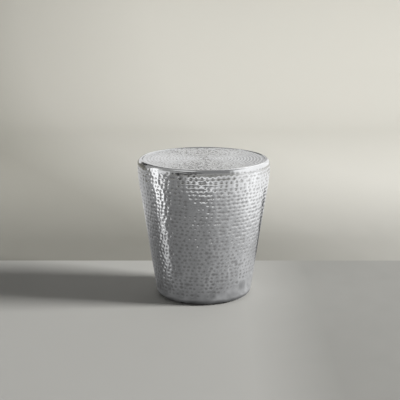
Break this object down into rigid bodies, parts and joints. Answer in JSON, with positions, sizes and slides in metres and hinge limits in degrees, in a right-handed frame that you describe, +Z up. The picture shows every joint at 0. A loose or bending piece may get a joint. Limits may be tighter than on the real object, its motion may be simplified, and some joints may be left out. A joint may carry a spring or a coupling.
{
  "type": "drum side table",
  "caption": "Tapered round drum side table in hammered aluminium, with a flat ringed top inside a rounded rim and a tucked-in foot on low glides.",
  "frame": {"origin": "centre of the floor contact plane, on the drum's axis", "axes": "+Z up along the drum's axis; +X towards glide_1; the drum is round, so +X and +Y are alike in shape"},
  "size_m": [0.4499, 0.45, 0.475],
  "materials": {
    "hammered_aluminium": "hammered and polished",
    "fibreboard": "raw board",
    "zinc_steel": "zinc plated",
    "plywood": "raw plywood",
    "black_steel": "satin black powder coat",
    "screw_steel": "zinc plated",
    "glide_plastic": "moulded"
  },
  "bodies": {
    "root": {"drum_wall": "hammered_aluminium", "top_plate": "hammered_aluminium", "top_core": "fibreboard", "support_ring": "zinc_steel", "base_ring": "plywood", "base_plate": "black_steel", "top_screws": "screw_steel", "foot_screws": "screw_steel", "base_screws": "screw_steel", "glide_screws": "screw_steel", "glide_1": "glide_plastic", "glide_2": "glide_plastic", "glide_3": "glide_plastic", "glide_4": "glide_plastic", "glide_5": "glide_plastic", "glide_6": "glide_plastic"}
  },
  "joints": []
}
